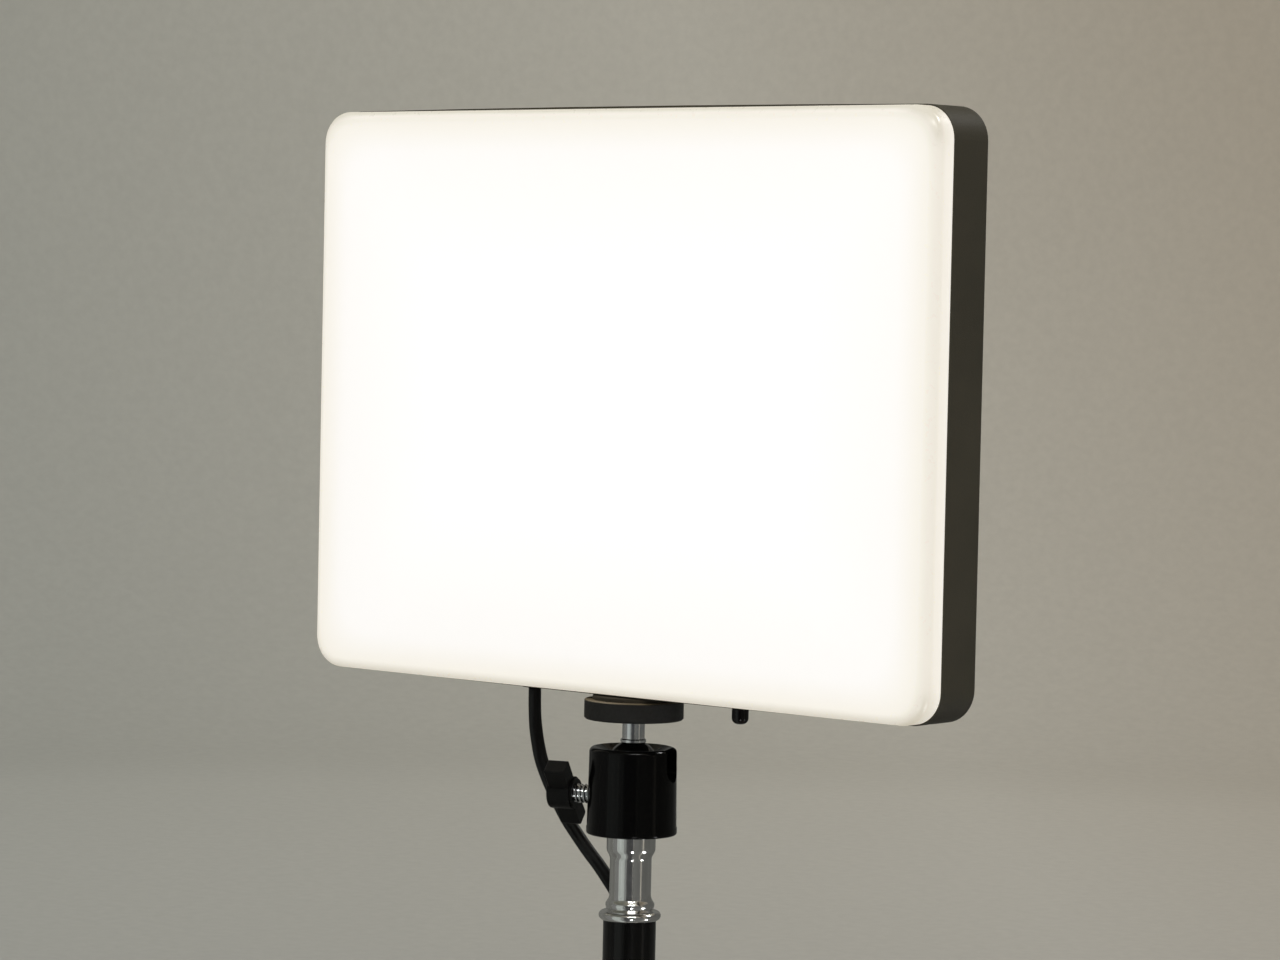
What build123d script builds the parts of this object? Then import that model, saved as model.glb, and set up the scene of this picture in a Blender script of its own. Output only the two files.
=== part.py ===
from build123d import *
import os
from math import cos, pi, radians, sin, tan

# LED panel light on a mini ball head, with the top length of its stand tube.
# Millimetres, +Z up. The origin is the middle of the slide bush's bottom face and the
# panel's lit face looks along -Y.

os.makedirs("parts", exist_ok=True)

# ---------------------------------------------------------------- driving dimensions
# stand tube, slide bush and spigot
tube_radius = 8.0
tube_wall = 1.2
tube_top = 220.0
bush_radius = 8.75
bush_length = 20.0
bush_floor = 2.0
spigot_top = 245.7
ring_radius = 9.4
ring_height = 2.8
bulge_radius = 7.4
waist_radius = 6.3
stud_radius = 3.17
thread_bore_radius = 3.22

# ball head
head_base = 246.0
head_height = 26.3
head_base_radius = 13.7
barrel_radius = 13.55
head_top_radius = 13.2
base_ring_height = 2.2
ball_radius = 8.0
seat_radius = 8.1
ball_height = 20.5
lip_height = 3.6
slot_angle = 19.0
slot_width = 8.4
lock_drop = 9.3
screw_radius = 2.95
screw_bore_radius = 3.0
knob_angle = 41.0
knob_length = 23.0
knob_width = 4.8
knob_tip_width = 5.4
knob_depth = 6.5

# stem and platform
neck_radius = 3.4
collar_radius = 3.9
neck_top = 14.3
disc_radius = 15.0
disc_thickness = 5.9
pad_radius = 12.5
pad_thickness = 1.1
turning_gap = 0.3

# panel
panel_width = 240.0
panel_height = 175.0
shell_depth = 17.0
shell_wall = 2.2
corner_radius = 10.0
wall_crown = 0.6
cover_inset = 0.3
cover_rise = 7.8
cover_wall = 1.8
cover_fillet = 3.0
lead_x = -40.0
receiver_x = 41.0

# lead
lead_thickness = 2.6
lead_pitch = 4.45
lead_turns = 24
winding_top = 198.0
lead_side = 129.0

# ---------------------------------------------------------------- derived places
ball_z = head_base + ball_height
disc_z = ball_z + neck_top
pad_z = disc_z + disc_thickness
crown_z = pad_z + pad_thickness + turning_gap
panel_base = crown_z + wall_crown
panel_middle = panel_base + panel_height / 2
shell_back = shell_depth / 2
shell_front = -shell_depth / 2
inside_back = shell_back - shell_wall
cover_front = shell_front - cover_rise
floor_z = panel_base + shell_wall
bore_radius = tube_radius - tube_wall
winding_bottom = winding_top - lead_turns * lead_pitch
winding_radius = tube_radius + lead_thickness

slot_way = Vector(cos(radians(slot_angle)), sin(radians(slot_angle)), 0)
lock_way = slot_way * -1
across_way = Vector(0, 0, 1).cross(slot_way)
head_plane = Plane(origin=(0, 0, head_base), x_dir=slot_way, z_dir=(0, 0, 1))
ball_plane = Plane(origin=(0, 0, ball_z), x_dir=slot_way, z_dir=(0, 0, 1))
lock_z = ball_z - lock_drop
bar_way = Vector(0, 0, 1) * cos(radians(knob_angle)) - across_way * sin(radians(knob_angle))


def facing(y):
    """The plane of the panel at depth y, seen from the lit side, X right and Z up."""
    return Plane(origin=(0, y, panel_middle), x_dir=(1, 0, 0), z_dir=(0, -1, 0))


def along_lock(distance):
    """The plane square to the lock screw, this far out from the head's axis."""
    middle = Vector(0, 0, lock_z) + lock_way * distance
    return Plane(origin=middle, x_dir=bar_way, z_dir=lock_way)


def save(block, name):
    """Label one finished piece and write its file."""
    block.part.label = name
    export_step(block.part, f"parts/{name}.step")


# ---------------------------------------------------------------- stand
# Nylon bush on the tube's lower end, closed below, which slides in the next tube down.
with BuildPart() as slide_bush:
    with BuildSketch():
        Circle(bush_radius)
    extrude(amount=bush_length)
    with BuildSketch(Plane.XY.offset(bush_floor)):
        Circle(tube_radius)
    extrude(amount=bush_length, mode=Mode.SUBTRACT)
    chamfer(slide_bush.edges().group_by(Axis.Z)[-1].sort_by(SortBy.LENGTH)[-1], length=0.3)
save(slide_bush, "slide_bush")

# Drawn steel tube, the stand's top section.
with BuildPart() as stand_tube:
    with BuildSketch(Plane.XY.offset(bush_floor)):
        Circle(tube_radius)
        Circle(bore_radius, mode=Mode.SUBTRACT)
    extrude(amount=tube_top - bush_floor)
save(stand_tube, "stand_tube")

# Turned spigot: a shank inside the tube, a bead ring on its rim, a bulge, a long waist
# and a flared shoulder under the head, all one turning with a bore for the stud.
shank_bottom = tube_top - 55.0
stud_seat = spigot_top - 9.0
ring_top = tube_top + ring_height
bead = ring_height / 2
with BuildPart() as spigot:
    with BuildSketch(Plane.XZ):
        with BuildLine():
            Polyline(
                (0, shank_bottom),
                (bore_radius, shank_bottom),
                (bore_radius, tube_top),
                (ring_radius - bead, tube_top),
            )
            ThreePointArc(
                (ring_radius - bead, tube_top),
                (ring_radius, tube_top + bead),
                (ring_radius - bead, ring_top),
            )
            Line((ring_radius - bead, ring_top), (bulge_radius - 0.5, ring_top))
            Spline(
                (bulge_radius - 0.5, ring_top),
                (bulge_radius, ring_top + 2.1),
                (waist_radius, ring_top + 4.9),
                tangents=[(0.4, 1), (0, 1)],
            )
            Line((waist_radius, ring_top + 4.9), (waist_radius, spigot_top - 7.4))
            Spline(
                (waist_radius, spigot_top - 7.4),
                (bulge_radius, spigot_top - 4.0),
                tangents=[(0, 1), (0, 1)],
            )
            Polyline(
                (bulge_radius, spigot_top - 4.0),
                (bulge_radius, spigot_top - 0.5),
                (bulge_radius - 0.5, spigot_top),
                (stud_radius, spigot_top),
                (stud_radius, stud_seat),
                (0, stud_seat),
                (0, shank_bottom),
            )
        make_face()
    revolve(axis=Axis.Z)
save(spigot, "spigot")

# Plated stud, screwed into the spigot, that the ball head turns on.
with BuildPart() as spigot_stud:
    with BuildSketch(Plane.XY.offset(stud_seat)):
        Circle(stud_radius)
    extrude(amount=head_base + 6.8 - stud_seat)
    chamfer(spigot_stud.edges().group_by(Axis.Z)[-1], length=0.6)
save(spigot_stud, "spigot_stud")

# ---------------------------------------------------------------- ball head
insert_radius = 4.5
neck_ring_radius = 9.4
neck_ring_top = 7.0
cup_bottom = 7.5
cup_top = 16.2
lip_radius = (seat_radius**2 - lip_height**2) ** 0.5
top_fillet = 1.5

# Ring screwed into the foot of the housing, which closes it and holds the insert.
with BuildPart() as base_ring:
    with BuildSketch(head_plane):
        Circle(head_base_radius)
    extrude(amount=base_ring_height)
    fillet(base_ring.edges().group_by(Axis.Z)[0], radius=0.8)
    with BuildSketch(head_plane.offset(base_ring_height)):
        Circle(neck_ring_radius)
    extrude(amount=neck_ring_top - base_ring_height)
    with BuildSketch(head_plane):
        Circle(insert_radius)
    extrude(amount=neck_ring_top, mode=Mode.SUBTRACT)
save(base_ring, "base_ring")

# Threaded steel bush pressed into the base ring.
with BuildPart() as head_insert:
    with BuildSketch(head_plane):
        Circle(insert_radius)
        Circle(thread_bore_radius, mode=Mode.SUBTRACT)
    extrude(amount=neck_ring_top)
save(head_insert, "head_insert")

# Moulded housing: tapered barrel, dished top, spherical seat under the lip, a slot down
# to the ball's middle for the stem and a cross bore for the lock screw.
with BuildPart() as head_housing:
    with BuildSketch(Plane(origin=(0, 0, head_base), x_dir=slot_way, z_dir=across_way * -1)):
        with BuildLine():
            barrel = Polyline(
                (neck_ring_radius, base_ring_height),
                (barrel_radius, base_ring_height),
                (head_top_radius, head_height - top_fillet),
            )
            ThreePointArc(
                barrel @ 1,
                (head_top_radius - 0.45, head_height - 0.4),
                (head_top_radius - top_fillet, head_height),
            )
            Line(
                (head_top_radius - top_fillet, head_height),
                (lip_radius, ball_height + lip_height),
            )
            ThreePointArc(
                (lip_radius, ball_height + lip_height),
                (seat_radius * cos(radians(13)), ball_height + seat_radius * sin(radians(13))),
                (seat_radius, ball_height),
            )
            Polyline(
                (seat_radius, ball_height),
                (seat_radius, neck_ring_top),
                (neck_ring_radius, neck_ring_top),
                (neck_ring_radius, base_ring_height),
            )
        make_face()
    revolve(axis=Axis.Z)
    with BuildSketch(Plane(origin=(0, 0, ball_z), x_dir=across_way, z_dir=slot_way)):
        Circle(slot_width / 2)
        with Locations((0, head_height / 2)):
            Rectangle(slot_width, head_height)
    extrude(amount=head_base_radius + 1, mode=Mode.SUBTRACT)
    with BuildSketch(along_lock(seat_radius - 0.5)):
        Circle(screw_bore_radius)
    extrude(amount=head_base_radius, mode=Mode.SUBTRACT)
save(head_housing, "head_housing")

# Acetal cup under the ball, with a side pocket that the pressure pad bears in.
pocket_radius = 2.7
pocket_end = 5.2
with BuildPart() as ball_cup:
    with BuildSketch(head_plane.offset(cup_bottom)):
        Circle(ball_radius)
    extrude(amount=cup_top - cup_bottom)
    with Locations((0, 0, ball_z)):
        Sphere(seat_radius, mode=Mode.SUBTRACT)
    with BuildSketch(along_lock(pocket_end)):
        Circle(pocket_radius)
    extrude(amount=ball_radius, mode=Mode.SUBTRACT)
save(ball_cup, "ball_cup")

# Brass pad between the screw's tip and the cup.
pad_tip = pocket_end + 0.3
pad_end = 8.7
with BuildPart() as pressure_pad:
    with BuildSketch(along_lock(pad_tip)):
        Circle(pocket_radius - 0.2)
    extrude(amount=pad_end - pad_tip)
    chamfer(pressure_pad.edges().sort_by(Axis((0, 0, 0), lock_way))[0], length=0.5)
save(pressure_pad, "pressure_pad")

# Lock screw: shank through the housing wall, ending in the knob's boss.
boss_start = 18.0
boss_height = 0.8
boss_radius = 4.4
with BuildPart() as lock_screw:
    with BuildSketch(along_lock(pad_end + 0.05)):
        Circle(screw_radius)
    extrude(amount=boss_start + 5.0 - pad_end)
save(lock_screw, "lock_screw")

# Moulded T-bar knob: a bar with slightly flared, square-ended wings, a round hub that
# stands a little proud of it on the outside and a smaller boss towards the housing.
bar_start = boss_start + boss_height
hub_radius = 5.0
hub_depth = knob_depth + 0.9
with BuildPart() as lock_knob:
    with BuildSketch(along_lock(bar_start)) as bar:
        with BuildLine():
            Polyline(
                (-knob_length / 2, -knob_tip_width / 2),
                (0, -knob_width / 2),
                (knob_length / 2, -knob_tip_width / 2),
                (knob_length / 2, knob_tip_width / 2),
                (0, knob_width / 2),
                (-knob_length / 2, knob_tip_width / 2),
                close=True,
            )
        make_face()
        fillet(bar.vertices(), radius=0.7)
    extrude(amount=knob_depth)
    bar_end = lock_knob.faces().sort_by(Axis((0, 0, 0), lock_way))[-1]
    fillet(bar_end.edges(), radius=0.5)
    with BuildSketch(along_lock(bar_start)):
        Circle(hub_radius)
    extrude(amount=hub_depth)
    hub_end = lock_knob.faces().sort_by(Axis((0, 0, 0), lock_way))[-1]
    fillet(hub_end.edges(), radius=0.6)
    with BuildSketch(along_lock(boss_start)):
        Circle(boss_radius)
    extrude(amount=boss_height)
    with BuildSketch(along_lock(boss_start)):
        Circle(screw_radius)
    extrude(amount=5.05, mode=Mode.SUBTRACT)
save(lock_knob, "lock_knob")

# ---------------------------------------------------------------- ball, stem and platform
stem_root = -3.0
stem_root_radius = 2.5
collar_bottom = 7.4
collar_top = 8.4
stem_top = crown_z - ball_z + 6.5

# Glossy ball, flat on top where the stem's collar seats, drilled for the stem.
with BuildPart() as ball:
    with Locations((0, 0, ball_z)):
        Sphere(ball_radius)
    with BuildSketch(ball_plane.offset(collar_bottom)):
        Circle(ball_radius)
    extrude(amount=ball_radius, mode=Mode.SUBTRACT)
    with BuildSketch(ball_plane.offset(stem_root)):
        Circle(stem_root_radius)
    extrude(amount=ball_radius * 2, mode=Mode.SUBTRACT)
save(ball, "ball")

# Zinc stem turned in one: root, collar, neck and the screw that holds the panel.
with BuildPart() as ball_stem:
    with BuildSketch(Plane(origin=(0, 0, ball_z), x_dir=(1, 0, 0), z_dir=(0, -1, 0))):
        with BuildLine():
            Polyline(
                (0, stem_root),
                (stem_root_radius, stem_root),
                (stem_root_radius, collar_bottom),
                (collar_radius, collar_bottom),
                (collar_radius, collar_top - 0.3),
                (collar_radius - 0.3, collar_top),
                (neck_radius, collar_top),
                (neck_radius, neck_top),
                (stud_radius, neck_top),
                (stud_radius, stem_top - 0.6),
                (stud_radius - 0.6, stem_top),
                (0, stem_top),
                (0, stem_root),
            )
        make_face()
    revolve(axis=Axis.Z)
save(ball_stem, "ball_stem")

# Platform disc, with a shallow dished underside and softened edges.
with BuildPart() as platform_disc:
    with BuildSketch(Plane.XY.offset(disc_z)):
        Circle(disc_radius)
    extrude(amount=disc_thickness)
    fillet(platform_disc.edges().group_by(Axis.Z)[-1], radius=0.5)
    chamfer(platform_disc.edges().group_by(Axis.Z)[0], length=0.5)
    with BuildSketch(Plane.XY.offset(disc_z)):
        Circle(stud_radius)
    extrude(amount=disc_thickness, mode=Mode.SUBTRACT)
save(platform_disc, "platform_disc")

# Rubber pad bonded to the disc.
with BuildPart() as platform_pad:
    with BuildSketch(Plane.XY.offset(pad_z)):
        Circle(pad_radius)
        Circle(neck_radius, mode=Mode.SUBTRACT)
    extrude(amount=pad_thickness)
save(platform_pad, "platform_pad")

# ---------------------------------------------------------------- panel
boss_outer = 6.2
boss_top = 9.5
post_radius = 3.2
post_columns = 3
post_rows = 2
post_pitch_x = 96.0
post_pitch_z = 120.0
board_front = 1.2
board_thickness = 1.4
board_back = board_front + board_thickness
board_rise = 11.0
board_width = 228.0
board_height = panel_height - board_rise - 5.0
board_shift = (board_rise - 5.0) / 2
board_hole_radius = 1.3
lead_hole_radius = 3.4
receiver_radius = 2.5
vent_length = 26.0
vent_width = 1.8
back_recess = 0.5

half_width = panel_width / 2
half_height = panel_height / 2


def shell_outline(inset):
    """A rounded rectangle whose long edges are crowned, drawn this far inside the shell."""
    x = half_width - inset
    z = half_height - inset
    with BuildSketch(mode=Mode.PRIVATE) as outline:
        with BuildLine():
            ThreePointArc((-x, z), (0, z + wall_crown), (x, z))
            Line((x, z), (x, -z))
            ThreePointArc((x, -z), (0, -z - wall_crown), (-x, -z))
            Line((-x, -z), (-x, z))
        make_face()
        fillet(outline.vertices(), radius=corner_radius - inset)
    return outline.sketch


# Moulded back shell: a tray with crowned long walls, a shallow field and vents in its
# back, screw posts, stiffening ribs and a boss in the bottom wall for the insert.
outer_outline = shell_outline(0)
inner_outline = shell_outline(shell_wall)
field_outline = shell_outline(9.0)
with BuildPart() as back_shell:
    with BuildSketch(facing(shell_back)):
        add(outer_outline)
    extrude(amount=shell_depth)
    fillet(back_shell.faces().sort_by(Axis.Y)[-1].edges(), radius=1.6)
    with BuildSketch(facing(shell_back)):
        add(field_outline)
    extrude(amount=back_recess, mode=Mode.SUBTRACT)
    with BuildSketch(facing(inside_back)):
        add(inner_outline)
    extrude(amount=shell_depth, mode=Mode.SUBTRACT)
    # stiffening ribs across the back wall
    with BuildSketch(facing(inside_back)):
        with GridLocations(0, 40, 1, 3):
            Rectangle(panel_width - 2 * shell_wall, 1.4)
        with GridLocations(48, 0, 4, 1):
            Rectangle(1.4, panel_height - 2 * shell_wall)
    extrude(amount=1.6)
    # posts that the board is screwed to
    with BuildSketch(facing(inside_back)):
        with GridLocations(post_pitch_x, post_pitch_z, post_columns, post_rows):
            Circle(post_radius)
    extrude(amount=inside_back - board_back)
    with BuildSketch(facing(inside_back - 1.0)):
        with GridLocations(post_pitch_x, post_pitch_z, post_columns, post_rows):
            Circle(board_hole_radius)
    extrude(amount=shell_depth, mode=Mode.SUBTRACT)
    # two banks of vent slots
    with BuildSketch(facing(shell_back)):
        with Locations((0, 40), (0, -40)):
            with GridLocations(34, 5, 4, 3):
                SlotOverall(vent_length, vent_width)
    extrude(amount=shell_wall + 2, mode=Mode.SUBTRACT)
    # boss for the threaded insert, tied to the back wall by a gusset
    with BuildSketch(Plane.XY.offset(floor_z - wall_crown)):
        Circle(boss_outer)
        with Locations((0, inside_back / 2)):
            Rectangle(2.4, inside_back)
    extrude(amount=boss_top - shell_wall)
    with BuildSketch(Plane.XY.offset(crown_z - 1)):
        Circle(insert_radius)
        with Locations((lead_x, 0)):
            Circle(lead_hole_radius)
        with Locations((receiver_x, 0)):
            Circle(receiver_radius)
    extrude(amount=boss_top + 2, mode=Mode.SUBTRACT)
save(back_shell, "back_shell")

# Opal cover: a shallow tray with a rounded front edge, and a lip inside the shell.
cover_width = panel_width - 2 * cover_inset
cover_height = panel_height - 2 * cover_inset
lip_inset = shell_wall + 0.1
lip_wall = 1.4
lip_depth = 2.0
lip_step = 2.0
with BuildPart() as diffuser:
    with BuildSketch(facing(shell_front)):
        RectangleRounded(cover_width, cover_height, corner_radius - cover_inset)
    extrude(amount=cover_rise)
    fillet(diffuser.faces().sort_by(Axis.Y)[0].edges(), radius=cover_fillet)
    with BuildSketch(facing(shell_front)):
        RectangleRounded(
            cover_width - 2 * cover_wall, cover_height - 2 * cover_wall, corner_radius - cover_wall
        )
    extrude(amount=cover_rise - cover_wall, mode=Mode.SUBTRACT)
    with BuildSketch(facing(shell_front + lip_depth)):
        RectangleRounded(
            panel_width - 2 * lip_inset, panel_height - 2 * lip_inset, corner_radius - lip_inset
        )
        RectangleRounded(
            panel_width - 2 * (lip_inset + lip_wall),
            panel_height - 2 * (lip_inset + lip_wall),
            corner_radius - lip_inset - lip_wall,
            mode=Mode.SUBTRACT,
        )
    extrude(amount=lip_depth)
    with BuildSketch(facing(shell_front)):
        RectangleRounded(
            cover_width - cover_wall, cover_height - cover_wall, corner_radius - cover_wall
        )
        RectangleRounded(
            panel_width - 2 * (lip_inset + lip_wall),
            panel_height - 2 * (lip_inset + lip_wall),
            corner_radius - lip_inset - lip_wall,
            mode=Mode.SUBTRACT,
        )
    extrude(amount=lip_step)
save(diffuser, "diffuser")

# Light board, drilled for its screws.
with BuildPart() as led_board:
    with BuildSketch(facing(board_back)):
        with Locations((0, board_shift)):
            RectangleRounded(board_width, board_height, 4.0)
        with GridLocations(post_pitch_x, post_pitch_z, post_columns, post_rows):
            Circle(board_hole_radius, mode=Mode.SUBTRACT)
    extrude(amount=board_thickness)
save(led_board, "led_board")

# Emitters on the board, in even rows.
led_columns = 12
led_rows = 8
led_height = 0.8
with BuildPart() as leds:
    with BuildSketch(facing(board_front)):
        with Locations((0, board_shift)):
            with GridLocations(18.6, 19.4, led_columns, led_rows):
                Rectangle(3.5, 2.8)
    extrude(amount=led_height)
save(leds, "leds")

# Pan-head screws that hold the board to the posts.
with BuildPart() as board_screws:
    with BuildSketch(facing(board_front)):
        with GridLocations(post_pitch_x, post_pitch_z, post_columns, post_rows):
            Circle(2.4)
    extrude(amount=1.4)
    fillet(board_screws.edges().group_by(Axis.Y)[0], radius=0.6)
    with BuildSketch(facing(board_front + 4.0)):
        with GridLocations(post_pitch_x, post_pitch_z, post_columns, post_rows):
            Circle(board_hole_radius)
    extrude(amount=4.0)
save(board_screws, "board_screws")

# Driver board behind the light board, and the parts on it.
driver_back = board_back + 0.3 + 1.2
driver_drop = -panel_height / 2 + 26.0
driver_x = 45.0
with BuildPart() as driver_board:
    with BuildSketch(facing(driver_back)):
        with Locations((driver_x, driver_drop)):
            Rectangle(44.0, 18.0)
    extrude(amount=1.2)
save(driver_board, "driver_board")

with BuildPart() as driver_parts:
    with BuildSketch(facing(driver_back + 0.8)):
        with Locations((driver_x, driver_drop)):
            with GridLocations(11.0, 8.0, 3, 2):
                Rectangle(5.0, 4.0)
    extrude(amount=0.8)
save(driver_parts, "driver_parts")

# Infrared receiver: a dome below the bottom wall on a collar inside it.
dome_drop = 6.0
dome_round = 1.8
receiver_top = panel_base + shell_wall
dome_bottom = panel_base - dome_drop
with BuildPart() as ir_receiver:
    with BuildSketch(Plane.XZ.offset(0)):
        with BuildLine():
            Line((receiver_x, dome_bottom), (receiver_x, receiver_top + 1.2))
            Polyline(
                (receiver_x, receiver_top + 1.2),
                (receiver_x + 3.0, receiver_top + 1.2),
                (receiver_x + 3.0, receiver_top),
                (receiver_x + receiver_radius, receiver_top),
                (receiver_x + receiver_radius, dome_bottom + dome_round),
            )
            ThreePointArc(
                (receiver_x + receiver_radius, dome_bottom + dome_round),
                (
                    receiver_x + receiver_radius - dome_round * (1 - cos(radians(45))),
                    dome_bottom + dome_round * (1 - sin(radians(45))),
                ),
                (receiver_x + receiver_radius - dome_round, dome_bottom),
            )
            Line((receiver_x + receiver_radius - dome_round, dome_bottom), (receiver_x, dome_bottom))
        make_face()
    revolve(axis=Axis((receiver_x, 0, 0), (0, 0, 1)))
save(ir_receiver, "ir_receiver")

# Brass insert in the boss, threaded for the stem's screw.
with BuildPart() as insert_nut:
    with BuildSketch(Plane.XY.offset(crown_z + 0.1)):
        RegularPolygon(insert_radius - 0.02, 12)
        Circle(thread_bore_radius, mode=Mode.SUBTRACT)
    extrude(amount=boss_top - wall_crown)
save(insert_nut, "insert_nut")

# ---------------------------------------------------------------- lead
lead_round = 0.45


def corner_radii(points):
    """The arc at each inner point of a route, as large as its two runs allow."""
    radii = []
    for before, here, after in zip(points, points[1:], points[2:]):
        arriving = Vector(*here) - Vector(*before)
        leaving = Vector(*after) - Vector(*here)
        half_turn = radians(arriving.get_angle(leaving)) / 2
        radii.append(lead_round * min(arriving.length, leaving.length) / tan(half_turn))
    return radii


def lead_tube(name, points):
    """A round tube of the lead's thickness along a route of runs and tangent arcs."""
    radii = corner_radii(points)
    with BuildPart() as tube:
        with BuildLine() as route:
            FilletPolyline(*points, radius=radii)
        with BuildSketch(Plane(origin=points[0], z_dir=Vector(*points[1]) - Vector(*points[0]))):
            Circle(lead_thickness / 2)
        sweep(path=route.wires()[0])
    expected = pi * (lead_thickness / 2) ** 2 * route.wires()[0].length
    print(name, "radii", [round(r, 1) for r in radii])
    print(name, "length", round(route.wires()[0].length, 2), "volume ratio",
          round(tube.part.volume / expected, 4))
    save(tube, name)


# Grommet in the bottom wall where the lead leaves the panel.
grommet_bottom = panel_base - 1.3
with BuildPart() as cable_grommet:
    with BuildSketch(Plane.XY.offset(grommet_bottom)):
        with Locations((lead_x, 0)):
            Circle(4.2)
    extrude(amount=0.7)
    with BuildSketch(Plane.XY.offset(grommet_bottom + 0.7)):
        with Locations((lead_x, 0)):
            Circle(lead_hole_radius)
    extrude(amount=5.0)
    fillet(cable_grommet.edges().group_by(Axis.Z)[0], radius=0.4)
save(cable_grommet, "cable_grommet")

upper_route = [
    (lead_x, 0, grommet_bottom),
    (lead_x, 0, 279.2),
    (-39.2, 0.6, 270.8),
    (-37.4, 1.5, 262.4),
    (-34.2, 2.9, 255.5),
]
middle_route = [
    (-34.2, 2.9, 255.5),
    (-31.0, 4.3, 248.6),
    (-26.2, 4.3, 243.6),
    (-20.8, 4.0, 238.5),
    (-15.4, 4.5, 233.4),
    (-12.4, 6.5, 227.9),
]
lower_route = [
    (-12.4, 6.5, 227.9),
    (-9.4, 8.5, 222.4),
    (-8.0, 9.6, 216.4),
    (-6.9, 8.8, 210.4),
    (-5.9, 7.3, 204.6),
    (-5.9, 7.3, 198.0),
]
tail_route = [
    (-5.9, 7.3, 91.2),
    (-5.9, 7.3, 86.6),
    (-6.9, 8.5, 81.8),
    (-7.9, 9.8, 76.8),
    (-7.9, 9.8, 70.0),
]
lead_tube("cord_upper", upper_route)
lead_tube("cord_middle", middle_route)
lead_tube("cord_lower", lower_route)
lead_tube("cord_tail", tail_route)

# The spare length, wound round the tube.
winding_gap = 0.05
with BuildPart() as cord_winding:
    with BuildSketch(Plane.XY.offset(winding_bottom)):
        Circle(winding_radius)
        Circle(tube_radius + winding_gap, mode=Mode.SUBTRACT)
    extrude(amount=winding_top - winding_bottom)
save(cord_winding, "cord_winding")

# Hook-and-loop tie round the last turns.
tie_width = 10.0
tie_thickness = 1.2
with BuildPart() as cord_tie:
    with BuildSketch(Plane.XY.offset(winding_bottom + 2)):
        Circle(winding_radius + tie_thickness)
        Circle(winding_radius, mode=Mode.SUBTRACT)
    extrude(amount=tie_width)
save(cord_tie, "cord_tie")

# USB plug hanging on the lead's end beside the tube.
plug_x, plug_y, plug_top = tail_route[-1]
plug_width = 15.4
plug_thickness = 8.0
relief_length = 8.0
cover_length = 27.0
metal_width = 12.0
metal_thickness = 4.5
metal_length = 12.0
plug_side = Vector(-sin(radians(lead_side)), cos(radians(lead_side)), 0)
cover_top = plug_top - relief_length
cover_bottom = cover_top - cover_length
metal_bottom = cover_bottom - metal_length


def plug_plane(z):
    """The plane across the plug at height z, with its width round the tube."""
    return Plane(origin=(plug_x, plug_y, z), x_dir=plug_side, z_dir=(0, 0, 1))


with BuildPart() as usb_plug_cover:
    with BuildSketch(plug_plane(cover_bottom)):
        RectangleRounded(plug_width, plug_thickness, 2.0)
    extrude(amount=cover_length)
    fillet(usb_plug_cover.edges().group_by(Axis.Z)[-1], radius=1.2)
    with BuildSketch(plug_plane(cover_top)):
        RectangleRounded(6.4, 4.8, 1.5)
    with BuildSketch(plug_plane(plug_top)):
        RectangleRounded(5.2, 3.6, 1.2)
    loft()
save(usb_plug_cover, "usb_plug_cover")

with BuildPart() as usb_plug_shell:
    with BuildSketch(plug_plane(metal_bottom)):
        Rectangle(metal_width, metal_thickness)
        Rectangle(metal_width - 0.8, metal_thickness - 0.8, mode=Mode.SUBTRACT)
    extrude(amount=metal_length)
save(usb_plug_shell, "usb_plug_shell")

with BuildPart() as usb_tongue:
    with BuildSketch(plug_plane(metal_bottom + 1.0)):
        with Locations((0, 0.9)):
            Rectangle(metal_width - 0.9, 1.8)
    extrude(amount=metal_length - 1.0)
save(usb_tongue, "usb_tongue")
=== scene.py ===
import math

import bpy
from mathutils import Matrix, Vector


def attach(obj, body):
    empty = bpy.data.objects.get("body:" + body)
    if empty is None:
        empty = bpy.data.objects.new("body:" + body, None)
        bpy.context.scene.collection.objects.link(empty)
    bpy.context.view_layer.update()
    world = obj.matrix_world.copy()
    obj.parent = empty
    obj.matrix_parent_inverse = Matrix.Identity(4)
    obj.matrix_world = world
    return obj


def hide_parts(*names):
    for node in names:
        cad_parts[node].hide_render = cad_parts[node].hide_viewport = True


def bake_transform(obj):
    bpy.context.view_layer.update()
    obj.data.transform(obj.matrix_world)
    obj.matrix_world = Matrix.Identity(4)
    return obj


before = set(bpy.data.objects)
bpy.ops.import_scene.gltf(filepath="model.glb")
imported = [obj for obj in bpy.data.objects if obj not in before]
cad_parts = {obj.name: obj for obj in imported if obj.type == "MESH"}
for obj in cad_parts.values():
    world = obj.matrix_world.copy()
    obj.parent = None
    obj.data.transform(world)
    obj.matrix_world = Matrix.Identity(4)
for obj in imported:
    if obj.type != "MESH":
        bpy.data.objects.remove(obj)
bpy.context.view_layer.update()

# ------------------------------------------------------------------ camera
# A long lens, level with the panel and well round to the right of its front. It looks
# slightly down and is rolled by about a degree.
LENS_MM = 116.77
CAMERA_DISTANCE = 1.2409
CAMERA_TARGET = Vector((0.00377, -0.0039, 0.35305))
CAMERA_AZIMUTH = math.radians(40.17)
CAMERA_PITCH = math.radians(2.767)
CAMERA_ROLL = math.radians(1.199)

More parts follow.
